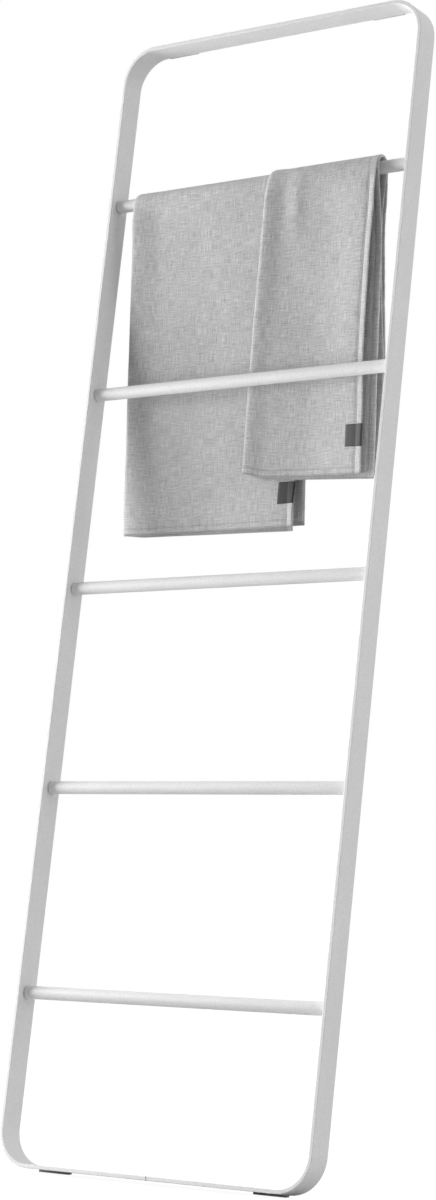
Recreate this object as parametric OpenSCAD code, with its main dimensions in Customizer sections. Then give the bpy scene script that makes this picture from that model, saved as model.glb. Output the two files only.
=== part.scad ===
// Leaning towel ladder: a bent flat-bar loop with five round rungs and two
// folded towels hung on its top rung. It stands on its foot pads and leans
// back on its wall pads. X runs along the rungs, Y towards the wall, Z up.

/* [Frame] */
// Width over the two rails
frame_w = 580; // [560:5:620]
// Length along the rails, from the bottom bar to the top bar
frame_h = 1810; // [1760:10:1900]
// Depth of the flat bar, front to back
bar_d = 40; // [34:1:46]
// Thickness of the flat bar
bar_t = 6; // [5:0.5:8]
// Radius of the bar's long edges
edge_r = 0.8; // [0.4:0.1:1.5]
// Outer radius of the four bent corners
corner_r = 58; // [45:1:70]
// Lean of the ladder from the vertical, in degrees
lean = 8; // [7:0.5:12]

/* [Rungs] */
// Outer diameter of a rung tube
rung_d = 20; // [18:0.5:22]
// Wall thickness of a rung tube
rung_wall = 1.5; // [1:0.25:2.5]
// Distance between the centre lines of neighbouring rungs
rung_pitch = 320; // [300:5:330]
// Length of an end plug inside its tube
plug_len = 14; // [10:1:20]
// Width of the shadow gap between a tube's end and the rail
joint_gap = 1.8; // [1:0.2:2.4]
// Diameter of a plug's neck, which crosses that gap
neck_d = 15; // [13:0.5:16]
// Diameter of the tenon that stands in the rail
tenon_d = 10; // [8:0.5:12]
// Depth of the blind bore that takes the tenon
tenon_depth = 4.2; // [3:0.1:4.5]

/* [Pads] */
// Length of each rubber pad along X
pad_len = 58; // [40:1:60]
// Distance between the centres of the left and right pads
pad_span = 402; // [360:2:402]
// Width of a foot pad, front to back
foot_pad_w = 8; // [6:1:12]
// Thickness of a foot pad at its front edge
foot_pad_t = 3.4; // [3:0.1:5]
// How far a wall pad stands out of the bar at its lower edge
wall_pad_t = 2.4; // [2:0.1:4]

/* [Towels] */
// Thickness of a folded towel, two layers of cloth
towel_t = 4.6; // [4:0.1:5]
// Width of the left towel as folded
left_w = 336; // [300:2:350]
// X of the left towel's centre
left_x = -80; // [-90:1:-60]
// Drop of the left towel's front panel below the rung's centre line
left_front = 548; // [540:1:560]
// Drop of the left towel's back panel below the rung's centre line
left_back = 542; // [480:1:560]
// Width of the right towel as folded
right_w = 242; // [180:2:250]
// X of the right towel's centre
right_x = 117; // [90:1:120]
// Drop of the right towel's front panel below the rung's centre line
right_front = 474; // [400:1:475]
// Drop of the right towel's back panel below the rung's centre line
right_back = 468; // [400:1:475]

/* [Labels] */
// Height of a sewn label
label_h = 34; // [24:1:34]
// Width of a label
label_w = 29; // [20:1:34]
// Thickness of a label
label_t = 0.6; // [0.4:0.1:0.6]
// Height of the left label's lower edge above its towel's front lower edge
left_label_up = 38; // [20:1:38]
// Height of the right label's lower edge above its towel's front lower edge
right_label_up = 42; // [20:1:60]
// How far the right towel's wider inner layer stands out past its label
right_label_in = 24; // [0:1:30]

/* [Hidden] */
$fn = 64;
RUNGS = 5;
SIDES = ["left", "right"];
rung_names = [for (i = [1:RUNGS]) str("rung_", i)];
plug_names = [for (i = [1:RUNGS], side = SIDES) str("rung_", i, "_plug_", side)];
pad_names = [for (end = ["foot", "wall"], side = SIDES) str(end, "_pad_", side)];

coat = [0.87, 0.87, 0.86];
steel = [0.62, 0.63, 0.64];
dark_rubber = [0.33, 0.33, 0.34];
pale_rubber = [0.74, 0.74, 0.74];
cloth = [0.66, 0.66, 0.66];
label_cloth = [0.24, 0.24, 0.25];

fit_gap = 0.05;                   // radial gap round a bonded plug
chamfer = 0.8;                    // lead-in on a plug's two ends
seam_w = 0.9;                     // width of the groove along the butt seam
seam_depth = 0.35;                // depth of that groove
slip = 0.3;                       // clearance between sliding cloth and what it rides on
rail_x = frame_w / 2;             // outer face of a rail
inner_x = rail_x - bar_t;         // inner face of a rail
mid_d = bar_d / 2;                // rung centre line, back from the bar's front
plug_r = rung_d / 2 - rung_wall - fit_gap;
tenon_r = tenon_d / 2 - fit_gap;

// Height of a rung's centre line along the rails, rung 1 at the top
function rung_u(i) = frame_h / 2 + rung_pitch * ((RUNGS + 1) / 2 - i);

// Y and Z of a point d behind the bar's front edge and u along the rails
function lean_y(d, u) = d * cos(lean) + u * sin(lean);
function lean_z(d, u) = u * cos(lean) - d * sin(lean);

// The floor passes through the foot pads' front edges, the wall through the
// wall pads' lower edges, and the rounded bottom bar is the foremost point
floor_z = lean_z(bar_d - foot_pad_w, -foot_pad_t);
wall_y = lean_y(bar_d + wall_pad_t, frame_h - bar_t);
front_y = lean_y(edge_r, edge_r) - edge_r;

// The origin is on the floor, midway between the foremost point and the wall
shift = [0, -(front_y + wall_y) / 2, -floor_z];
top_rung = shift + [0, lean_y(mid_d, rung_u(1)), lean_z(mid_d, rung_u(1))];

left_inner_r = rung_d / 2 + slip;                  // cloth round the top rung
right_inner_r = left_inner_r + towel_t + slip;     // cloth over the left towel

// Puts children modelled upright, from the bar's front lower edge, in place
module leaning() {
    translate(shift) rotate([-lean, 0, 0]) children();
}

// Children and their mirror image across the plane X = 0
module both_sides() {
    children();
    mirror([1, 0, 0]) children();
}

// Children, mirrored to the left when side is "left"
module on_side(side) {
    mirror([side == "left" ? 1 : 0, 0, 0]) children();
}

// Children and their mirror image across the middle of the frame's height
module both_ends() {
    children();
    translate([0, 0, frame_h]) mirror([0, 0, 1]) children();
}

// A cylinder along +X from the origin
module x_cylinder(r, h) {
    rotate([0, 90, 0]) cylinder(r = r, h = h);
}

// Section of the flat bar, its thickness along x and its depth along y
module bar_section() {
    translate([edge_r, 0]) square([bar_t - 2 * edge_r, bar_d]);
    translate([0, edge_r]) square([bar_t, bar_d - 2 * edge_r]);
    for (x = [edge_r, bar_t - edge_r], y = [edge_r, bar_d - edge_r])
        translate([x, y]) circle(r = edge_r, $fn = 32);
}

// Straight rail on the right
module rail() {
    translate([inner_x, 0, corner_r])
        linear_extrude(frame_h - 2 * corner_r) bar_section();
}

// Straight cross bar at the top
module cross_bar() {
    translate([corner_r - rail_x, 0, frame_h - bar_t]) rotate([90, 0, 90])
        linear_extrude(frame_w - 2 * corner_r) mirror([1, -1, 0]) bar_section();
}

// Bent corner at the top right
module bend() {
    translate([rail_x - corner_r, 0, frame_h - corner_r]) rotate([90, 0, 0])
        rotate_extrude(angle = 90) translate([corner_r - bar_t, -bar_d]) bar_section();
}

// Shallow groove round the bottom bar where the loop's two ends meet
module seam_groove() {
    difference() {
        translate([-seam_w / 2, -seam_w, -seam_w])
            cube([seam_w, bar_d + 2 * seam_w, bar_t + 2 * seam_w]);
        translate([-seam_w, seam_depth, seam_depth])
            cube([2 * seam_w, bar_d - 2 * seam_depth, bar_t - 2 * seam_depth]);
    }
}

// One bar bent into a closed loop, with blind bores for the rung plugs
module frame_loop() {
    color(coat) leaning() difference() {
        union() {
            both_sides() rail();
            both_ends() cross_bar();
            both_sides() both_ends() bend();
        }
        both_sides() for (i = [1:RUNGS])
            translate([inner_x - seam_w, mid_d, rung_u(i)])
                x_cylinder(tenon_d / 2, tenon_depth + seam_w);
        seam_groove();
    }
}

// Round tube that stops short of each rail by the shadow gap
module rung(i) {
    half = inner_x - joint_gap;
    color(coat) leaning() translate([-half, mid_d, rung_u(i)]) difference() {
        x_cylinder(rung_d / 2, 2 * half);
        translate([-1, 0, 0]) x_cylinder(rung_d / 2 - rung_wall, 2 * half + 2);
    }
}

// Turned plug bonded into a tube's end, its neck against the rail and its
// tenon in the rail's blind bore
module plug(i, side) {
    tip = tenon_depth - fit_gap;
    root = -joint_gap - plug_len;
    color(steel) leaning() on_side(side) translate([inner_x, mid_d, rung_u(i)])
        rotate([0, 90, 0]) rotate_extrude() polygon([
            [0, root],
            [plug_r - chamfer, root],
            [plug_r, root + chamfer],
            [plug_r, -joint_gap],
            [neck_d / 2, -joint_gap],
            [neck_d / 2, 0],
            [tenon_r, 0],
            [tenon_r, tip - chamfer],
            [tenon_r - chamfer, tip],
            [0, tip]
        ]);
}

// Rubber strip under the bottom bar's back edge, flat on the floor
module foot_pad(side) {
    drop = 2 * foot_pad_t;
    color(dark_rubber) difference() {
        leaning() on_side(side)
            translate([(pad_span - pad_len) / 2, bar_d - foot_pad_w, -drop])
                cube([pad_len, foot_pad_w, drop]);
        translate([-rail_x, -frame_w, -2 * drop]) cube([frame_w, 2 * frame_w, 2 * drop]);
    }
}

// Rubber strip on the top bar's back edge, flat on the wall
module wall_pad(side) {
    reach = 2 * wall_pad_t;
    color(pale_rubber) difference() {
        leaning() on_side(side)
            translate([(pad_span - pad_len) / 2, bar_d, frame_h - bar_t])
                cube([pad_len, reach, bar_t]);
        translate([-rail_x, wall_y + shift.y, 0]) cube([frame_w, 2 * reach, 2 * frame_h]);
    }
}

// Folded towel over the top rung: a round top and two straight panels
module towel(inner_r, x, width, front, back) {
    outer_r = inner_r + towel_t;
    color(cloth) translate([x - width / 2, top_rung.y, top_rung.z]) rotate([90, 0, 90])
        linear_extrude(width) {
            difference() {
                circle(r = outer_r);
                circle(r = inner_r);
                translate([-outer_r, -2 * outer_r]) square(2 * outer_r);
            }
            translate([-outer_r, -front]) square([towel_t, front]);
            translate([inner_r, -back]) square([towel_t, back]);
        }
}

// Sewn label flat on the front panel, its right-hand end at X = edge_x
module towel_label(inner_r, edge_x, drop) {
    face_y = top_rung.y - inner_r - towel_t;
    color(label_cloth) translate([edge_x - label_w, face_y - label_t, top_rung.z - drop])
        cube([label_w, label_t, label_h]);
}

module towel_left() {
    towel(left_inner_r, left_x, left_w, left_front, left_back);
}

module towel_right() {
    towel(right_inner_r, right_x, right_w, right_front, right_back);
}

module towel_left_label() {
    towel_label(left_inner_r, left_x + left_w / 2, left_front - left_label_up);
}

module towel_right_label() {
    edge_x = right_x + right_w / 2 - right_label_in;
    towel_label(right_inner_r, edge_x, right_front - right_label_up);
}

frame_loop();
for (i = [1:RUNGS]) {
    rung(i);
    for (side = SIDES)
        plug(i, side);
}
for (side = SIDES) {
    foot_pad(side);
    wall_pad(side);
}
towel_left();
towel_right();
towel_left_label();
towel_right_label();
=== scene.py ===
import math
from dataclasses import dataclass

import bpy
import numpy as np
from mathutils import Matrix, Vector


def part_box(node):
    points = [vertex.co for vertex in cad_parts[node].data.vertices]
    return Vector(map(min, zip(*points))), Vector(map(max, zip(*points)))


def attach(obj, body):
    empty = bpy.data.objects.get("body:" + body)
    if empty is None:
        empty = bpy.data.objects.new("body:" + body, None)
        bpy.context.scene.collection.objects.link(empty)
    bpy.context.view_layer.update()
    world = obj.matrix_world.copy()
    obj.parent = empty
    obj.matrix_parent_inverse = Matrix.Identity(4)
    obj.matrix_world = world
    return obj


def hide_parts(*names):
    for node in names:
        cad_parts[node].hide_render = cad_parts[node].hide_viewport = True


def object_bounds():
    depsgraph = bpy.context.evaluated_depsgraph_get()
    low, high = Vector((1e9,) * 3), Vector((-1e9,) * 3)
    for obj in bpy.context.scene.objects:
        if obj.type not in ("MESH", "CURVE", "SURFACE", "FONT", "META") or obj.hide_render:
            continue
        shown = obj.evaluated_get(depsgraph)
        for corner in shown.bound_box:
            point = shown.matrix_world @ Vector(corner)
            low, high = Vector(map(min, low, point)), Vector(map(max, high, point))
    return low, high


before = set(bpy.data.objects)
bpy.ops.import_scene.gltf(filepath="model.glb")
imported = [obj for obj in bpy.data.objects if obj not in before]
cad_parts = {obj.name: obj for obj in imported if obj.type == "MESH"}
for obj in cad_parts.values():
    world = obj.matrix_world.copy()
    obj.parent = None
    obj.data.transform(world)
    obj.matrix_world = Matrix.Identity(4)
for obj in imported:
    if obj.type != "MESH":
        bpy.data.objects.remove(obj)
cad_low, cad_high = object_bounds()

MM = 0.001

# Camera: where it stands in metres, where it looks in degrees, and its lens
CAMERA_PLACE = (2.6372, -3.5139, 0.4678)
CAMERA_AZIMUTH, CAMERA_PITCH, CAMERA_ROLL = 36.887, 5.265, 1.216
LENS, SENSOR = 86.55, 36.0

# The rung that the towels hang on
rung_low, rung_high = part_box("rung_1")
RUNG_Y = (rung_low.y + rung_high.y) / 2
RUNG_Z = (rung_low.z + rung_high.z) / 2
RUNG_R = (rung_high.z - rung_low.z) / 2

# Cloth, in metres
CLOTH = 1.7 * MM           # thickness of one layer
HEM = 10.2 * MM            # from a cut edge to its line of stitches
HEM_SWELL = 0.35 * MM      # how much thicker a side of the folded hem is
HEM_CURL = 1.5 * MM        # how far an open edge turns outward beyond its stitches
HEM_GROOVE = 0.85 * MM     # how far the stitches pull the cloth in
STITCH = 3.4 * MM          # length of a stitch
STITCH_GAP = 2.2 * MM      # from one stitch to the next
THREAD_R = 0.28 * MM
TAPE = 0.6 * MM            # thickness of a label
CELL = 6 * MM              # spacing of the cloth mesh away from hems
SIM_CELL = 10 * MM         # spacing of the simulated mesh
SIM_FRAMES = 30
NOSE_STEPS = 13            # steps round the rounded fold
# Distances from a cut edge where the mesh has a line of points, close together at the stitches
HEM_LINES = np.array([0, 0.6, 1.6, 3.2, 5.2, 6.8, 7.6, 8.1, 8.7, 9.4, 11, 14, 18.5]) * MM
LABEL_HALF = 17 * MM       # half the height of a label
# Distances from the open edge of a label's lines of points, on the towel's front and back
LABEL_FRONT = np.array([29, 25, 20, 15, 11.5, 9.6, 8.7, 8.1, 7.4, 6, 4, 2, 0.8]) * MM
LABEL_BACK = np.array([0.8, 2.5, 5, 8, 11]) * MM


# ------------------------------------------------------------ small helpers

def ease(t):
    """0 below 0, 1 above 1, and smooth between."""
    t = np.clip(t, 0.0, 1.0)
    return t * t * (3 - 2 * t)


def bell(x, centre, width):
    """1 at the centre, fading to both sides."""
    return np.exp(-(((x - centre) / width) ** 2))


def between(ends, t):
    """From the first of two values at t = 0 to the second at t = 1."""
    return ends[0] + t * (ends[1] - ends[0])


def outline(points, x):
    """A smooth curve through a few (x, value) points in millimetres, for x in metres."""
    xs, values = (np.array(c) * MM for c in zip(*points))
    slopes = np.gradient(values, xs)
    i = np.clip(np.searchsorted(xs, x) - 1, 0, len(xs) - 2)
    step = xs[i + 1] - xs[i]
    t = np.clip((x - xs[i]) / step, 0.0, 1.0)
    ends = values[i] + ease(t) * (values[i + 1] - values[i])
    leaning = slopes[i] * t * (1 - t) ** 2 - slopes[i + 1] * t ** 2 * (1 - t)
    return ends + step * leaning


def unit(v):
    """Vectors of length 1 in the same directions."""
    return v / np.maximum(np.linalg.norm(v, axis=-1, keepdims=True), 1e-12)


def new_object(name, points, faces):
    """A smooth-shaded mesh object in the scene."""
    mesh = bpy.data.meshes.new(name)
    mesh.from_pydata([tuple(p) for p in points], [], faces)
    mesh.polygons.foreach_set("use_smooth", [True] * len(mesh.polygons))
    mesh.update()
    obj = bpy.data.objects.new(name, mesh)
    bpy.context.scene.collection.objects.link(obj)
    return obj


def grid_faces(rows, columns, start=0, flip=False):
    """Quads over a grid of points that are numbered row by row from start."""
    faces = []
    for r in range(rows - 1):
        for c in range(columns - 1):
            a = start + r * columns + c
            quad = (a, a + 1, a + columns + 1, a + columns)
            faces.append(quad[::-1] if flip else quad)
    return faces


# ------------------------------------------------------------ the two towels

@dataclass(frozen=True)
class Towel:
    """A towel folded in half lengthwise and hung over the top rung.

    Outlines are (distance from the top of the roll, x), in millimetres, front negative.
    Drops are how far a layer hangs below the rung's centre line at the fold and at the
    open edge, in millimetres."""
    side: str
    inner_r: float             # from the rung's centre line to the cloth
    pair: float                # thickness of the two layers where they lie flat
    fold_line: tuple           # outline of the folded edge
    wide_edge: tuple           # outline of the inner layer's open edge
    narrow_edge: tuple         # outline of the outer layer's open edge
    outer_drop: tuple          # front drop of the outer layer
    inner_drop: tuple          # front drop of the inner layer
    outer_back: tuple          # back drop of the outer layer
    inner_back: tuple          # back drop of the inner layer
    fold_u: float              # how far the rounded fold reaches in
    bulge: float               # how far the fold stands out
    bulge_on_roll: float       # share of that on the roll
    bulge_reach: float         # how far in from the fold that goes
    roll_lift: float           # how loosely the outer layer goes over the roll
    slope: tuple               # slope of the panel beside the fold, high up and low down
    slope_reach: tuple         # how far in from the fold that slope goes, high up and low down
    pucker: float              # height of the pucker below the roll
    splay: float               # how far the outer layer's open edge stands out
    splay_low: float           # the same near the lower hem
    stand_off: float           # how far the panels hang out from what is under them
    curl_from: float           # how far below the roll the open edges start to curl
    flat: tuple                # size of the sheet before it was folded


LEFT = Towel(
    side="left",
    inner_r=RUNG_R + 0.6 * MM,
    pair=4.2 * MM,
    fold_line=((-570, -248), (-545, -250.5), (-420, -249.5), (-330, -248.5), (-260, -245),
               (-90, -240.5), (-20, -242), (0, -241), (20, -243), (120, -244), (320, -246),
               (570, -244)),
    wide_edge=((-570, 83), (0, 86), (120, 86), (570, 85)),
    narrow_edge=((-570, 88), (-450, 88), (0, 88), (120, 88), (570, 86)),
    outer_drop=(542.5, 545.8),
    inner_drop=(542.5, 551.5),
    outer_back=(541, 540),
    inner_back=(541, 537),
    fold_u=8.5 * MM,
    bulge=1.6 * MM,
    bulge_on_roll=0.7,
    bulge_reach=50 * MM,
    roll_lift=0.7 * MM,
    slope=(0.135, -0.02),
    slope_reach=(62 * MM, 105 * MM),
    pucker=0.0,
    splay=0.6 * MM,
    splay_low=6 * MM,
    stand_off=0.0,
    curl_from=475 * MM,
    flat=(0.67, 1.13),
)
RIGHT = Towel(
    side="right",
    inner_r=RUNG_R + 6.4 * MM,
    pair=3.4 * MM,
    fold_line=((-500, -2), (-400, 4), (-292, 11.5), (-150, 22), (-60, 28.5), (0, 30), (150, 26),
               (490, 8)),
    wide_edge=((-510, 236.5), (-430, 238), (-330, 240.5), (-235, 242.5), (-135, 244), (-70, 239.5),
               (0, 232), (60, 222), (220, 220), (330, 225), (490, 219)),
    narrow_edge=((-500, 220), (-400, 221), (-330, 221), (-270, 223), (-160, 229), (-70, 235.5),
                 (-30, 233), (0, 231), (60, 221), (220, 218), (330, 221), (490, 212)),
    outer_drop=(461, 474.5),
    inner_drop=(461, 481),
    outer_back=(468, 468),
    inner_back=(468, 465),
    fold_u=9.0 * MM,
    bulge=2.0 * MM,
    bulge_on_roll=0.5,
    bulge_reach=30 * MM,
    roll_lift=0.0,
    slope=(0.16, 0.105),
    slope_reach=(50 * MM, 118 * MM),
    pucker=3.0 * MM,
    splay=8.0 * MM,
    splay_low=9.0 * MM,
    stand_off=2.6 * MM,
    curl_from=0.0,
    flat=(0.44, 1.0),
)


def middle_r(towel):
    """Radius at which the middle of the folded towel goes over the rung."""
    return towel.inner_r + towel.pair / 2


def over_the_rung(towel, along, out):
    """Y and Z at a distance along the towel from the top of its roll, out metres off it."""
    radius = middle_r(towel)
    turn = np.clip(along / radius, -math.pi / 2, math.pi / 2)
    hang = np.maximum(np.abs(along) - radius * math.pi / 2, 0.0)
    y = np.sin(turn) * (radius + out)
    z = np.cos(turn) * (radius + out) - hang
    return RUNG_Y + y, RUNG_Z + z


def reach(towel, drop):
    """Distance along the towel from the top of its roll to a drop below the rung."""
    return middle_r(towel) * math.pi / 2 + drop * MM


def start_shape(towel):
    """The folded towel's middle surface as it is laid over the rung, as a grid of points."""
    front, back = reach(towel, max(towel.inner_drop)), reach(towel, max(towel.outer_back))
    rows = round((front + back) / SIM_CELL)
    columns = round((towel.wide_edge[0][1] - towel.fold_line[0][1]) * MM / SIM_CELL)
    along = np.linspace(-front, back, rows)[:, None]
    u = np.linspace(0.0, 1.0, columns)[None, :]
    left, right = outline(towel.fold_line, along), outline(towel.wide_edge, along)
    x = left + u * (right - left)
    inward = x - left
    below = ease((np.abs(along) - middle_r(towel)) / (90 * MM))
    ripple = np.sin(inward / (27 * MM) + along / (330 * MM)) * 0.6 * MM
    y, z = over_the_rung(towel, along, below * ripple)
    return np.stack([x, y, z], -1), along[:, 0]


def roll_collider(towel):
    """What the towel lies on: a bar as thick as the rung with whatever is already on it."""
    radius = middle_r(towel) - 2 * MM
    bpy.ops.mesh.primitive_cylinder_add(
        radius=radius, depth=0.8, vertices=96,
        location=(0, RUNG_Y, RUNG_Z), rotation=(0, math.pi / 2, 0))
    bar = bpy.context.object
    bar.modifiers.new("Collision", "COLLISION")
    bar.collision.thickness_outer = 1 * MM
    bar.collision.thickness_inner = 1 * MM
    bar.collision.cloth_friction = 30
    return bar


def hang_by_simulation(towel, grid):
    """Lets the grid of points settle over the rung as cloth, and returns it settled."""
    rows, columns = grid.shape[:2]
    cloth = new_object("settling_cloth", grid.reshape(-1, 3), grid_faces(rows, columns))
    bar = roll_collider(towel)
    held = np.flatnonzero(grid[:, :, 2].ravel() > RUNG_Z)
    pinned = cloth.vertex_groups.new(name="on_the_rung")
    pinned.add(held.tolist(), 1.0, "REPLACE")
    modifier = cloth.modifiers.new("Cloth", "CLOTH")
    settings = modifier.settings
    settings.quality = 8
    settings.mass = 0.03
    settings.tension_stiffness = settings.compression_stiffness = 40
    settings.shear_stiffness = 20
    settings.bending_stiffness = 6
    settings.air_damping = 4
    settings.vertex_group_mass = pinned.name
    modifier.collision_settings.distance_min = 1 * MM
    modifier.collision_settings.collision_quality = 4
    modifier.point_cache.frame_start, modifier.point_cache.frame_end = 1, SIM_FRAMES
    scene = bpy.context.scene
    for number in range(1, SIM_FRAMES + 1):
        scene.frame_set(number)
    settled = cloth.evaluated_get(bpy.context.evaluated_depsgraph_get()).data
    points = np.zeros(rows * columns * 3, np.float32)
    settled.vertices.foreach_get("co", points)
    for obj in (cloth, bar):
        bpy.data.objects.remove(obj)
    scene.frame_set(1)
    return points.reshape(rows, columns, 3).astype(float)


def spline_weights(t):
    """The weights of four neighbours in a uniform cubic B-spline at t, and their slopes."""
    weights = [(1 - t) ** 3 / 6, (3 * t ** 3 - 6 * t ** 2 + 4) / 6,
               (-3 * t ** 3 + 3 * t ** 2 + 3 * t + 1) / 6, t ** 3 / 6]
    slopes = [-(1 - t) ** 2 / 2, (3 * t ** 2 - 4 * t) / 2,
              (-3 * t ** 2 + 2 * t + 1) / 2, t ** 2 / 2]
    return weights, slopes


def padded_grid(grid):
    """The grid with one more row and column on each side, carried on straight."""
    grid = np.concatenate([2 * grid[:1] - grid[1:2], grid, 2 * grid[-1:] - grid[-2:-1]], 0)
    left, right = 2 * grid[:, :1] - grid[:, 1:2], 2 * grid[:, -1:] - grid[:, -2:-1]
    return np.concatenate([left, grid, right], 1)


def through_points(grid):
    """Control points whose spline, along the towel, passes through the grid's own points."""
    control = grid.copy()
    for _ in range(3):
        smooth = control.copy()
        smooth[1:-1] = (control[:-2] + 4 * control[1:-1] + control[2:]) / 6
        control = control + grid - smooth
    return control


def on_surface(grid, row, column):
    """Points and outward normals of a smooth surface over the grid, at fractional places."""
    padded = padded_grid(grid)
    row0 = np.clip(np.floor(row).astype(int), 0, grid.shape[0] - 2)
    col0 = np.clip(np.floor(column).astype(int), 0, grid.shape[1] - 2)
    row_w, row_d = spline_weights(row - row0)
    col_w, col_d = spline_weights(column - col0)
    point = down = across = 0.0
    for i in range(4):
        for j in range(4):
            corner = padded[row0 + i, col0 + j]
            point = point + (row_w[i] * col_w[j])[..., None] * corner
            down = down + (row_d[i] * col_w[j])[..., None] * corner
            across = across + (row_w[i] * col_d[j])[..., None] * corner
    return point, unit(np.cross(across, down))


def spaced(length):
    """Distances from one cut edge to the other, close together in the hems."""
    reach_in = HEM_LINES[-1]
    count = max(2, round((length - 2 * reach_in) / CELL))
    inner = np.linspace(reach_in, length - reach_in, count + 1)[1:-1]
    return np.concatenate([HEM_LINES, inner, (length - HEM_LINES)[::-1]])


def layer_columns(towel, width):
    """Distances from the fold to an open edge, close together at the fold and in the hem."""
    near = HEM_LINES[::-1]
    first = towel.fold_u
    count = round((width - near[0] - first) / CELL)
    inner = np.linspace(first, width - near[0], count + 1)[:-1]
    return np.concatenate([inner, width - near])


class Sheet:
    """One sheet of cloth: its middle surface, its normals and half its thickness."""

    def __init__(self, points, half, across, down):
        self.points, self.half = points, half
        self.across, self.down = across, down
        d_down = np.gradient(points, axis=0)
        d_across = np.gradient(points, axis=1)
        self.normals = unit(np.cross(d_down, d_across))

    def at(self, down, across, side, lift):
        """Points lift metres off one side of the sheet, at flat distances down and across."""
        row = np.interp(down, self.down, np.arange(len(self.down)))
        column = np.interp(across, self.across, np.arange(len(self.across)))
        r = np.clip(row.astype(int), 0, len(self.down) - 2)
        c = np.clip(column.astype(int), 0, len(self.across) - 2)
        fr, fc = (row - r)[..., None], (column - c)[..., None]

        def mixed(values):
            top = values[r, c] * (1 - fc) + values[r, c + 1] * fc
            low = values[r + 1, c] * (1 - fc) + values[r + 1, c + 1] * fc
            return top * (1 - fr) + low * fr

        rise = mixed(self.half[..., None]) + np.broadcast_to(lift, row.shape)[..., None]
        return mixed(self.points) + side * unit(mixed(self.normals)) * rise


def hem_distance(down, across):
    """Distance of each point of a flat sheet from its nearest cut edge."""
    ends = np.minimum(down, down[-1] - down)[:, None]
    sides = np.minimum(across, across[-1] - across)[None, :]
    return np.minimum(ends, sides)


@dataclass(frozen=True)
class Columns:
    """The columns of the folded sheet, from one open edge round the fold to the other."""
    from_fold: np.ndarray      # flat distance from the fold
    layer: np.ndarray          # 1 in the outer layer, 0 in the inner one
    share: np.ndarray          # 0 at the fold, 1 at an open edge
    width: np.ndarray          # flat distance from the fold to the open edge

    def blend(self, outer, inner):
        """The outer value in the outer layer, the inner one in the inner layer."""
        return self.layer * outer + (1 - self.layer) * inner


def folded_columns(towel):
    """Columns close together in both hems and round the fold."""
    wide, narrow = ((edge[1][1] - towel.fold_line[0][1]) * MM
                    for edge in (towel.wide_edge, towel.narrow_edge))
    outer = layer_columns(towel, narrow)[::-1]
    inner = layer_columns(towel, wide)
    turn = np.linspace(0, math.pi, NOSE_STEPS)[1:-1]
    nose = towel.fold_u - (towel.fold_u - CLOTH / 2) * np.sin(turn)
    layer = np.concatenate([np.ones(len(outer)), (1 + np.cos(turn)) / 2, np.zeros(len(inner))])
    return Columns(
        from_fold=np.concatenate([outer, nose, inner]),
        layer=layer,
        share=np.concatenate([outer / narrow, nose * 0, inner / wide]),
        width=layer * narrow + (1 - layer) * wide,
    )


def places_along(towel, columns):
    """The sheet's rows as flat distances, and each point's place along the towel."""
    length = reach(towel, max(towel.inner_drop)) + reach(towel, max(towel.outer_back))
    down = spaced(length)
    f = (down / length)[:, None]
    share = columns.share
    sooner = 0.4 * ease(columns.from_fold / (45 * MM)) + 0.6 * share
    first = reach(towel, columns.blend(between(towel.outer_drop, sooner),
                                       between(towel.inner_drop, sooner)))
    last = reach(towel, columns.blend(between(towel.outer_back, share),
                                      between(towel.inner_back, share)))
    return down, -first[None, :] * (1 - f) + last[None, :] * f


def stand_out(towel, inward, place):
    """How far the panel stands out beside the fold: a straight slope that then runs out."""
    down = ease((np.abs(place) - middle_r(towel) - 40 * MM) / (330 * MM))
    slope = between(towel.slope, down)
    far = between(towel.slope_reach, down)
    t = np.clip(inward / far, 0.0, 1.0)
    profile = np.where(t < 0.5, 1 - t * 4 / 3, (1 - t) ** 2 * 4 / 3)
    sooner = ease((np.abs(place) - middle_r(towel)) / (45 * MM))
    return 0.75 * slope * far * profile * sooner * np.where(place < 0, 1.0, 0.5)


def layer_offset(towel, columns, place):
    """How far each layer's middle lies from the middle of the folded towel."""
    rest_r = middle_r(towel)
    middle = towel.pair / 2 - CLOTH / 2
    below = ease((np.abs(place) - rest_r) / (60 * MM))
    low = ease((-place - 0.86 * reach(towel, towel.outer_drop[0])) / (60 * MM))
    from_fold = columns.from_fold[None, :]
    fade = 1 - ease((from_fold - towel.fold_u) / towel.bulge_reach)
    bulge = towel.bulge * fade * between((towel.bulge_on_roll, 1.0), below)
    lift = towel.roll_lift * (1 - fade) * (1 - below)
    open_side = (ease((columns.share - 0.5) / 0.5) * columns.layer)[None, :]
    splay = open_side * (towel.splay * below + (towel.splay_low - towel.splay) * low)
    wave = np.sin(place / (47 * MM)) * np.sin(place / (83 * MM) + 1.0) * 0.5 * MM * below
    pucker = towel.pucker * bell(from_fold, 62 * MM, 17 * MM) * bell(place, -75 * MM, 42 * MM)
    from_edge = (columns.width - columns.from_fold)[None, :]
    curl = HEM_CURL * ease(1 - from_edge / HEM) - HEM_GROOVE * bell(from_edge, HEM, 3 * MM)
    curled = curl * ease((-place - rest_r - towel.curl_from) / (60 * MM))
    upper = middle + bulge + lift + splay + pucker + open_side * wave + curled
    return columns.blend(upper, -middle + curled * 0.5)


def half_thickness(down, across):
    """Half the sheet's thickness: thicker in the hems, pinched along their stitches."""
    edge_gap = hem_distance(down, across)
    half = CLOTH / 2 + HEM_SWELL * ease((HEM - edge_gap) / (1.2 * MM))
    return half - 0.42 * MM * bell(edge_gap, HEM, 0.8 * MM)


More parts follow.
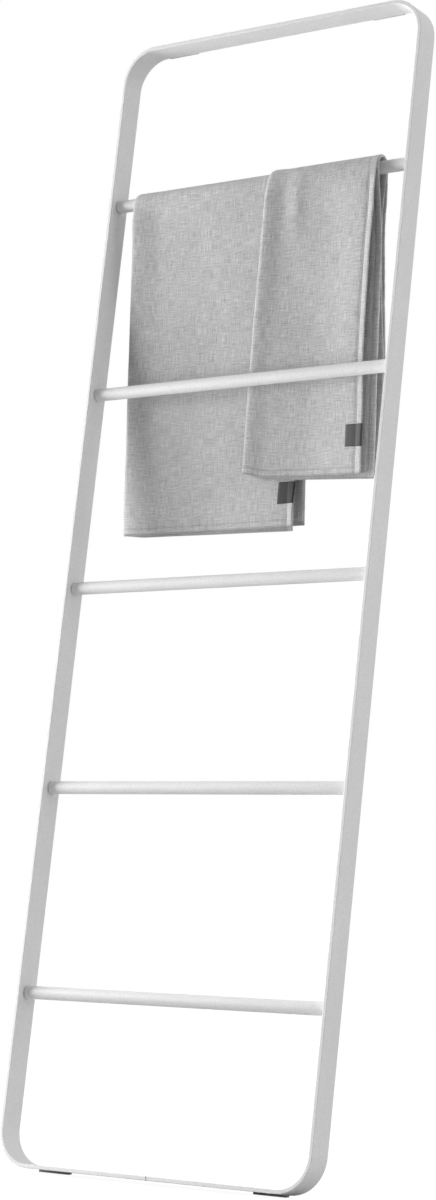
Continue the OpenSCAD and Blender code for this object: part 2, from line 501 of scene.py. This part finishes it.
def folded_sheet(towel, grid, along):
    """The whole towel as one sheet, folded round its left-hand edge, in two layers."""
    columns = folded_columns(towel)
    down, place = places_along(towel, columns)
    left = outline(towel.fold_line, place)
    wide = outline(towel.wide_edge, place)
    edge = columns.blend(outline(towel.narrow_edge, place), wide)
    inward = columns.from_fold[None, :] * (edge - left) / columns.width[None, :]
    column = inward / (wide - left) * (grid.shape[1] - 1)
    row = (place - along[0]) / (along[-1] - along[0]) * (grid.shape[0] - 1)
    surface, normal = on_surface(through_points(grid), row, column)
    clear = towel.stand_off * ease((np.abs(place) - middle_r(towel)) / (30 * MM))
    out = layer_offset(towel, columns, place) + stand_out(towel, inward, place) + clear
    points = surface + normal * out[..., None]
    steps = np.linalg.norm(np.diff(points, axis=1), axis=-1).mean(0)
    across = np.concatenate([[0.0], np.cumsum(steps)])
    return Sheet(points, half_thickness(down, across), across, down)


def thick_mesh(name, sheet, rim=0.8):
    """A closed mesh of the sheet with both faces and a rounded rim."""
    rows, columns = sheet.half.shape
    lift = sheet.normals * sheet.half[..., None]
    ring = ([(0, c) for c in range(columns)] + [(r, columns - 1) for r in range(1, rows)]
            + [(rows - 1, c) for c in range(columns - 2, -1, -1)]
            + [(r, 0) for r in range(rows - 2, 0, -1)])
    ring_r, ring_c = (np.array(v) for v in zip(*ring))
    inner_r = np.clip(ring_r, 1, rows - 2)
    inner_c = np.clip(ring_c, 1, columns - 2)
    outward = unit(sheet.points[ring_r, ring_c] - sheet.points[inner_r, inner_c])
    edge = sheet.points[ring_r, ring_c] + outward * (sheet.half[ring_r, ring_c] * rim)[:, None]
    points = np.concatenate([
        (sheet.points + lift).reshape(-1, 3), (sheet.points - lift).reshape(-1, 3), edge])
    count = rows * columns
    faces = grid_faces(rows, columns, 0, flip=True) + grid_faces(rows, columns, count)
    for i in range(len(ring)):
        j = (i + 1) % len(ring)
        a, b = ring[i][0] * columns + ring[i][1], ring[j][0] * columns + ring[j][1]
        faces.append((a, b, 2 * count + j, 2 * count + i))
        faces.append((2 * count + i, 2 * count + j, count + b, count + a))
    obj = new_object(name, points, faces)
    flat = np.stack(np.meshgrid(sheet.across, sheet.down), -1).reshape(-1, 2)
    rim_flat = flat[ring_r * columns + ring_c]
    add_flat_map(obj, np.concatenate([flat, flat, rim_flat]))
    return obj


def add_flat_map(obj, flat):
    """A UV map in metres of the flat cloth, which the weave and the hem follow."""
    layer = obj.data.uv_layers.new(name="flat")
    corners = np.zeros(len(obj.data.loops), np.int32)
    obj.data.loops.foreach_get("vertex_index", corners)
    layer.data.foreach_set("uv", flat[corners].astype(np.float32).ravel())


def stitch_line(sheet, down, across, side):
    """Points and faces of a row of stitches along a line of flat places on one side."""
    step = np.hypot(np.diff(down), np.diff(across))
    travelled = np.concatenate([[0.0], np.cumsum(step)])
    points, faces = [], []
    start = STITCH_GAP
    while start + STITCH < travelled[-1]:
        t = start + STITCH * np.array([0.0, 0.12, 0.5, 0.88, 1.0])
        thick = THREAD_R * np.array([0.25, 0.85, 1.0, 0.85, 0.25])
        rise = THREAD_R * np.array([-0.9, 0.1, 0.75, 0.1, -0.9])
        core = sheet.at(np.interp(t, travelled, down), np.interp(t, travelled, across), side, rise)
        points, faces = add_tube(points, faces, core, thick)
        start += STITCH + STITCH_GAP
    return points, faces


def add_tube(points, faces, core, thick, sides=5):
    """Adds a closed tube round the core's points."""
    first = len(points)
    for i, centre in enumerate(core):
        ahead = unit(core[min(i + 1, len(core) - 1)] - core[max(i - 1, 0)])
        helper = np.array([0.0, 0.0, 1.0]) if abs(ahead[2]) < 0.8 else np.array([1.0, 0, 0])
        one = unit(np.cross(ahead, helper))
        two = np.cross(ahead, one)
        for k in range(sides):
            angle = 2 * math.pi * k / sides
            points.append(centre + thick[i] * (math.cos(angle) * one + math.sin(angle) * two))
    for i in range(len(core) - 1):
        for k in range(sides):
            a, b = first + i * sides + k, first + i * sides + (k + 1) % sides
            faces.append((a, b, b + sides, a + sides))
    last = first + (len(core) - 1) * sides
    faces.append(tuple(range(first + sides - 1, first - 1, -1)))
    faces.append(tuple(range(last, last + sides)))
    return points, faces


def make_stitches(towel, sheet):
    """The hem's stitches, along all four edges and on both sides of the sheet."""
    width, length = sheet.across[-1], sheet.down[-1]
    near, far = HEM, width - HEM
    top, low = HEM, length - HEM
    corners = [(top, near), (top, far), (low, far), (low, near), (top, near)]
    points, faces = [], []
    for (d0, a0), (d1, a1) in zip(corners, corners[1:]):
        down, across = np.linspace(d0, d1, 400), np.linspace(a0, a1, 400)
        for side in (1, -1):
            more, quads = stitch_line(sheet, down, across, side)
            base = len(points)
            points += more
            faces += [tuple(v + base for v in q) for q in quads]
    return new_object(f"towel_{towel.side}_stitching", points, faces)


def make_label(towel, sheet):
    """A woven tape label that goes round the open edge of the outer layer."""
    node = f"towel_{towel.side}_label"
    low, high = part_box(node)
    hem_z = RUNG_Z - towel.outer_drop[1] * MM
    down = np.linspace(low.z - hem_z, high.z - hem_z, 12)
    lift = TAPE / 2 + 0.08 * MM
    rows = []
    for d in down:
        over = sheet.at(np.full(len(LABEL_FRONT), d), LABEL_FRONT, 1, lift)
        under = sheet.at(np.full(len(LABEL_BACK), d), LABEL_BACK, -1, lift)
        outward = unit(over[-1] - over[-3])
        round_edge = [over[-1] * (1 - t) + under[0] * t + outward * (
            math.sin(math.pi * t) * 0.75 * MM + 0.9 * MM) for t in (0.08, 0.3, 0.5, 0.7, 0.92)]
        rows.append(np.concatenate([over, round_edge, under]))
    points = np.array(rows)
    across = np.concatenate([[0], np.cumsum(np.linalg.norm(np.diff(points[0], axis=0), axis=-1))])
    tape = Sheet(points, np.full(points.shape[:2], TAPE / 2), across, down - down[0])
    return thick_mesh(f"{node}_tape", tape)


# ------------------------------------------------------------ materials

class Look:
    """A material, with short ways to add nodes to it."""

    def __init__(self, name, roughness):
        self.material = bpy.data.materials.new(name)
        self.material.use_nodes = True
        self.tree = self.material.node_tree
        self.shader = self.tree.nodes["Principled BSDF"]
        self.shader.inputs["Roughness"].default_value = roughness
        place = self.tree.nodes.new("ShaderNodeTexCoord")
        self.place = place.outputs["Object"]

    def put(self, socket, value):
        """Gives an input a value, or links it to another node's output."""
        if isinstance(value, bpy.types.NodeSocket):
            self.tree.links.new(value, socket)
        else:
            socket.default_value = value

    def math(self, operation, *values):
        node = self.tree.nodes.new("ShaderNodeMath")
        node.operation = operation
        for socket, value in zip(node.inputs, values):
            self.put(socket, value)
        return node.outputs[0]

    def stretch(self, vector, scale):
        """The vector times a scale along each axis."""
        node = self.tree.nodes.new("ShaderNodeVectorMath")
        node.operation = "MULTIPLY"
        self.put(node.inputs[0], vector)
        self.put(node.inputs[1], scale)
        return node.outputs[0]

    def join(self, x, y):
        node = self.tree.nodes.new("ShaderNodeCombineXYZ")
        self.put(node.inputs[0], x)
        self.put(node.inputs[1], y)
        return node.outputs[0]

    def split(self, vector):
        node = self.tree.nodes.new("ShaderNodeSeparateXYZ")
        self.put(node.inputs[0], vector)
        return node.outputs

    def noise(self, vector, scale, detail=2.0):
        node = self.tree.nodes.new("ShaderNodeTexNoise")
        self.put(node.inputs["Vector"], vector)
        self.put(node.inputs["Scale"], scale)
        self.put(node.inputs["Detail"], detail)
        return node.outputs["Fac"]

    def span(self, value, low, high, to_low=0.0, to_high=1.0):
        """A value carried from one range to another, and held within it."""
        node = self.tree.nodes.new("ShaderNodeMapRange")
        for socket, number in zip(node.inputs, (value, low, high, to_low, to_high)):
            self.put(socket, number)
        return node.outputs["Result"]

    def mix(self, factor, a, b):
        node = self.tree.nodes.new("ShaderNodeMix")
        node.data_type = "RGBA"
        for index, value in ((0, factor), (6, a), (7, b)):
            self.put(node.inputs[index], value)
        return node.outputs[2]

    def bump(self, height, distance, strength=1.0, below=None):
        """A normal for the height, on top of the normal below."""
        node = self.tree.nodes.new("ShaderNodeBump")
        self.put(node.inputs["Height"], height)
        self.put(node.inputs["Distance"], distance)
        self.put(node.inputs["Strength"], strength)
        if below is not None:
            self.put(node.inputs["Normal"], below)
        return node.outputs["Normal"]

    def edges(self, radius, low=0.90, high=0.995):
        """1 on the part's long edges, 0 on its faces."""
        rounded = self.tree.nodes.new("ShaderNodeBevel")
        rounded.samples = 4
        rounded.inputs["Radius"].default_value = radius
        faces = self.tree.nodes.new("ShaderNodeNewGeometry")
        dot = self.tree.nodes.new("ShaderNodeVectorMath")
        dot.operation = "DOT_PRODUCT"
        self.put(dot.inputs[0], rounded.outputs[0])
        self.put(dot.inputs[1], faces.outputs["Normal"])
        return self.span(dot.outputs["Value"], low, high, 1.0, 0.0)

    def finish(self, colour=None, normal=None, roughness=None):
        for name, value in (("Base Color", colour), ("Normal", normal), ("Roughness", roughness)):
            if value is not None:
                self.put(self.shader.inputs[name], value)
        return self.material


def grey(value):
    return (value, value, value, 1.0)


def coat_look(name, seam=False):
    """White powder coat: fine orange peel, faint clouding, and a painted highlight on the edges."""
    look = Look(name, 0.42)
    cloud = look.noise(look.place, 9, 3)
    fine = look.noise(look.place, 900, 2)
    grain = look.noise(look.place, 360, 3)
    colour = look.mix(look.span(cloud, 0.3, 0.7), grey(0.81), grey(0.86))
    colour = look.mix(look.span(grain, 0.42, 0.62, 0.0, 0.55), colour, grey(0.72))
    colour = look.mix(look.span(fine, 0.35, 0.65, 0.0, 0.35), colour, grey(0.92))
    # Painted highlight: the rounded edges are mixed towards a lighter grey, standing for the light they
    # catch.
    colour = look.mix(look.math("MULTIPLY", look.edges(1.2 * MM), 0.3), colour, grey(0.9))
    if seam:
        # Painted shade: a dark line along the butt seam of the bottom bar, standing for the shade
        # inside its narrow groove.
        x, _, z = look.split(look.place)
        near = look.span(look.math("ABSOLUTE", x), 0.45 * MM, 0.8 * MM, 1.0, 0.0)
        near = look.math("MULTIPLY", near, look.span(z, 0.06, 0.08, 1.0, 0.0))
        colour = look.mix(near, colour, grey(0.22))
    roughness = look.span(fine, 0.3, 0.7, 0.38, 0.5)
    peel = look.noise(look.place, 420, 2)
    normal = look.bump(peel, 0.10 * MM, 0.35)
    normal = look.bump(fine, 0.05 * MM, 0.25, normal)
    return look.finish(colour, normal, roughness)


def steel_look(name):
    """Turned bare steel: fine rings round the axis."""
    look = Look(name, 0.34)
    look.shader.inputs["Metallic"].default_value = 1.0
    rings = look.noise(look.stretch(look.place, (5200, 60, 60)), 1, 3)
    colour = look.mix(rings, grey(0.50), grey(0.62))
    return look.finish(colour, look.bump(rings, 0.03 * MM, 0.5), look.span(rings, 0.3, 0.7, 0.28, 0.42))


def rubber_look(name, tone):
    """Moulded rubber with a fine matt grain."""
    look = Look(name, 0.75)
    grain = look.noise(look.place, 1500, 2)
    patch = look.noise(look.place, 60, 2)
    colour = look.mix(look.span(patch, 0.3, 0.7), grey(tone * 0.9), grey(tone * 1.1))
    colour = look.mix(look.span(grain, 0.55, 0.75, 0, 0.4), colour, grey(tone * 1.35))
    return look.finish(colour, look.bump(grain, 0.12 * MM, 0.6), look.span(grain, 0.3, 0.7, 0.65, 0.85))


def flat_place(look):
    """Where a point is on the flat cloth, in millimetres."""
    node = look.tree.nodes.new("ShaderNodeUVMap")
    node.uv_map = "flat"
    return look.stretch(node.outputs[0], (1 / MM, 1 / MM, 1.0))


def woven_height(look, across, down, pitch):
    """Height of a plain weave with threads at a pitch in millimetres."""
    one = look.math("SINE", look.math("MULTIPLY", across, math.pi / pitch))
    two = look.math("SINE", look.math("MULTIPLY", down, math.pi / pitch))
    over = look.math("MULTIPLY", one, two)
    crown = look.math("ADD", look.math("ABSOLUTE", one), look.math("ABSOLUTE", two))
    return look.math("MULTIPLY_ADD", over, 0.5, look.math("MULTIPLY", crown, 0.35))


def with_painted_hem_light_and_shade(look, colour, u, v, size):
    """The colour with painted shade along the stitches and the end hems, and a painted highlight along
    the side hems.
    """
    width, length = (extent / MM for extent in size)
    side = look.math("MINIMUM", u, look.math("SUBTRACT", width, u))
    end = look.math("MINIMUM", v, look.math("SUBTRACT", length, v))
    from_edge = look.math("MINIMUM", side, end)
    seam = look.math("ABSOLUTE", look.math("SUBTRACT", from_edge, HEM / MM))
    # Painted shade: darker along the line of stitches, standing for the shade in the groove they pull
    # into the cloth.
    colour = look.mix(look.span(seam, 0.6, 2.4, 0.24, 0.0), colour, grey(0.24))
    # Painted highlight: lighter along the side edges, standing for the light the raised hem edge
    # catches.
    colour = look.mix(look.span(side, 1.5, 4.5, 0.25, 0.0), colour, grey(0.76))
    # Painted shade: darker along the end edges, standing for the line of shade under the hem's bottom
    # edge.
    return look.mix(look.span(end, 1.2, 3.4, 0.55, 0.0), colour, grey(0.24))


def towel_look(name, seed, size):
    """Melange plain-weave cloth: slubby threads each with its own tone."""
    look = Look(name, 0.92)
    flat = flat_place(look)
    u, v, _ = look.split(flat)
    wander = look.noise(look.stretch(flat, (0.02, 0.02, 1)), 1, 2)
    across = look.math("MULTIPLY_ADD", wander, 5.0, look.math("ADD", u, seed))
    down = look.math("MULTIPLY_ADD", wander, -4.0, look.math("ADD", v, seed))
    place = look.join(across, down)
    warp = look.noise(look.stretch(place, (0.75, 0.045, 1)), 1, 2)
    weft = look.noise(look.stretch(place, (0.045, 0.75, 1)), 1, 2)
    fleck = look.noise(place, 0.55, 3)
    cloud = look.noise(place, 0.012, 2)
    warp_tone, weft_tone, fleck_tone = (
        look.span(pattern, 0.25, 0.75, -0.5, 0.5) for pattern in (warp, weft, fleck))
    tone = look.math("ADD", warp_tone, weft_tone)
    tone = look.math("MULTIPLY_ADD", fleck_tone, 0.9, tone)
    tone = look.math("MULTIPLY_ADD", look.span(cloud, 0.3, 0.7, -0.5, 0.5), 0.15, tone)
    colour = look.mix(look.span(tone, -0.9, 0.9), grey(0.30), grey(0.76))
    colour = with_painted_hem_light_and_shade(look, colour, u, v, size)
    weave = woven_height(look, across, down, 1.0)
    normal = look.bump(look.math("ADD", warp, weft), 0.5 * MM, 0.5)
    normal = look.bump(weave, 0.28 * MM, 0.5, normal)
    look.shader.inputs["Sheen Weight"].default_value = 0.25
    look.shader.inputs["Sheen Roughness"].default_value = 0.6
    look.shader.inputs["Specular IOR Level"].default_value = 0.2
    return look.finish(colour, normal)


def label_look(name, dark, light):
    """Dense dark tape with a fine rib across it."""
    look = Look(name, 0.7)
    flat = flat_place(look)
    _, down, _ = look.split(flat)
    rib = look.math("SINE", look.math("MULTIPLY", down, 2 * math.pi / 0.8))
    fleck = look.noise(flat, 1.4, 2)
    colour = look.mix(look.span(fleck, 0.3, 0.7), grey(dark), grey(light))
    half = LABEL_HALF / MM
    from_middle = look.math("ABSOLUTE", look.math("SUBTRACT", down, half))
    selvedge = look.span(from_middle, half - 2.0, half - 0.8)
    colour = look.mix(look.math("MULTIPLY", selvedge, 0.5), colour, grey(0.02))
    look.shader.inputs["Sheen Weight"].default_value = 0.15
    return look.finish(colour, look.bump(look.math("ADD", rib, fleck), 0.15 * MM, 0.6))


def thread_look(name):
    """Sewing thread, a little darker than the cloth, with its twist as a bump."""
    look = Look(name, 0.7)
    twist = look.noise(look.stretch(look.place, (1, 1, 0.4)), 2600, 2)
    colour = look.mix(look.span(twist, 0.3, 0.7), grey(0.28), grey(0.45))
    look.shader.inputs["Sheen Weight"].default_value = 0.2
    return look.finish(colour, look.bump(twist, 0.08 * MM, 0.6))


def floor_look():
    """A pale studio floor that is seen almost white, with faint shadows."""
    look = Look("studio_floor", 0.9)
    tree = look.tree
    patch = look.noise(look.place, 2.0, 2)
    look.finish(look.mix(patch, grey(0.49), grey(0.51)))
    look.shader.inputs["Specular IOR Level"].default_value = 0.0
    faint = tree.nodes.new("ShaderNodeBsdfDiffuse")
    faint.inputs["Color"].default_value = grey(0.12)
    glow = tree.nodes.new("ShaderNodeEmission")
    glow.inputs["Strength"].default_value = 0.95
    seen, shader = tree.nodes.new("ShaderNodeAddShader"), tree.nodes.new("ShaderNodeMixShader")
    path = tree.nodes.new("ShaderNodeLightPath")
    for a, b in ((faint.outputs[0], seen.inputs[0]), (glow.outputs[0], seen.inputs[1]),
                 (path.outputs["Is Camera Ray"], shader.inputs[0]),
                 (look.shader.outputs[0], shader.inputs[1]), (seen.outputs[0], shader.inputs[2]),
                 (shader.outputs[0], tree.nodes["Material Output"].inputs["Surface"])):
        tree.links.new(a, b)
    return look.material


def set_material(obj, material):
    """Gives every face of the object the material."""
    if not obj.data.materials:
        obj.data.materials.append(material)
    for index in range(len(obj.data.materials)):
        obj.data.materials[index] = material


# ------------------------------------------------------------ stage

def make_camera():
    """The camera at the photograph's viewing angle."""
    azimuth, pitch, roll = (math.radians(a) for a in (CAMERA_AZIMUTH, CAMERA_PITCH, CAMERA_ROLL))
    ahead = Vector((-math.sin(azimuth) * math.cos(pitch), math.cos(azimuth) * math.cos(pitch),
                    math.sin(pitch)))
    level = Vector((math.cos(azimuth), math.sin(azimuth), 0))
    above = level.cross(ahead)
    right = level * math.cos(roll) + above * math.sin(roll)
    up = above * math.cos(roll) - level * math.sin(roll)
    data = bpy.data.cameras.new("camera")
    data.lens, data.sensor_width, data.sensor_fit = LENS, SENSOR, "AUTO"
    data.clip_end = 60
    camera = bpy.data.objects.new("camera", data)
    bpy.context.scene.collection.objects.link(camera)
    turn = Matrix((right, up, -ahead)).transposed().to_4x4()
    camera.matrix_world = Matrix.Translation(CAMERA_PLACE) @ turn
    bpy.context.scene.camera = camera


def make_world(ambient, from_behind, from_above):
    """White to the eye, and a soft light from all round that is stronger behind and above."""
    world = bpy.data.worlds.new("studio")
    bpy.context.scene.world = world
    world.use_nodes = True
    tree = world.node_tree
    path = tree.nodes.new("ShaderNodeLightPath")
    strength = tree.nodes.new("ShaderNodeMix")
    toward = tree.nodes.new("ShaderNodeTexCoord")
    lean = tree.nodes.new("ShaderNodeVectorMath")
    lean.operation = "DOT_PRODUCT"
    lean.inputs[1].default_value = (0.0, from_behind, from_above)
    light = tree.nodes.new("ShaderNodeMath")
    light.operation = "ADD"
    light.inputs[1].default_value = ambient
    tree.links.new(toward.outputs["Generated"], lean.inputs[0])
    tree.links.new(lean.outputs["Value"], light.inputs[0])
    tree.links.new(light.outputs[0], strength.inputs[2])
    strength.inputs[3].default_value = 1.0
    tree.links.new(path.outputs["Is Camera Ray"], strength.inputs[0])
    background = tree.nodes["Background"]
    background.inputs["Color"].default_value = (1, 1, 1, 1)
    tree.links.new(strength.outputs[0], background.inputs["Strength"])


def make_lamp(name, azimuth, elevation, power, size, distance=4.0):
    """A square soft light. Azimuth 0 stands in front of the object, negative to its left."""
    a, e = math.radians(azimuth), math.radians(elevation)
    toward = Vector((math.sin(a) * math.cos(e), -math.cos(a) * math.cos(e), math.sin(e)))
    data = bpy.data.lights.new(name, "AREA")
    data.size, data.energy = size, power
    lamp = bpy.data.objects.new(name, data)
    bpy.context.scene.collection.objects.link(lamp)
    centre = (cad_low + cad_high) / 2
    lamp.location = centre + toward * distance
    lamp.rotation_euler = (-toward).to_track_quat("-Z", "Y").to_euler()


def make_floor():
    size = 30.0
    corners = [(-size, -size), (size, -size), (size, size), (-size, size)]
    floor = new_object("studio_floor", [(x, y, cad_low.z) for x, y in corners], [(0, 1, 2, 3)])
    set_material(floor, floor_look())


def make_towel(towel, seed, label_tones):
    """One towel's cloth, stitches and label, in place of its two CAD solids."""
    body = f"towel_{towel.side}"
    grid, along = start_shape(towel)
    grid = hang_by_simulation(towel, grid)
    sheet = folded_sheet(towel, grid, along)
    cloth = thick_mesh(f"{body}_cloth", sheet)
    stitches = make_stitches(towel, sheet)
    label = make_label(towel, sheet)
    set_material(cloth, towel_look(f"{body}_melange", seed, (sheet.across[-1], sheet.down[-1])))
    set_material(stitches, thread_look(f"{body}_thread"))
    set_material(label, label_look(f"{body}_label_tape", *label_tones))
    for piece in (cloth, stitches, label):
        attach(piece, body)
    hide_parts(body)
    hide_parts(f"{body}_label")


def dress_frame():
    """Materials for the CAD pieces of the ladder."""
    looks = {
        "frame_loop": coat_look("powder_coat_with_painted_seam_shade", seam=True),
        "rung_": coat_look("powder_coat"),
        "plug_": steel_look("turned_steel"),
        "foot_pad": rubber_look("grey_rubber", 0.4),
        "wall_pad": rubber_look("pale_rubber", 0.62),
    }
    for name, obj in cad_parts.items():
        for key, material in looks.items():
            if key in name:
                set_material(obj, material)


scene = bpy.context.scene
scene.view_settings.view_transform = "Standard"
make_camera()
make_world(ambient=0.48, from_behind=0.42, from_above=0.12)
make_lamp("key", azimuth=-72, elevation=5, power=285, size=2.4)
make_lamp("fill", azimuth=83, elevation=4, power=30, size=2.0)
make_floor()
dress_frame()
make_towel(LEFT, seed=0.0, label_tones=(0.02, 0.042))
# Painted light: the right label's tape gets lighter tones than the left's, standing for the light it
# catches.
make_towel(RIGHT, seed=500.0, label_tones=(0.045, 0.088))
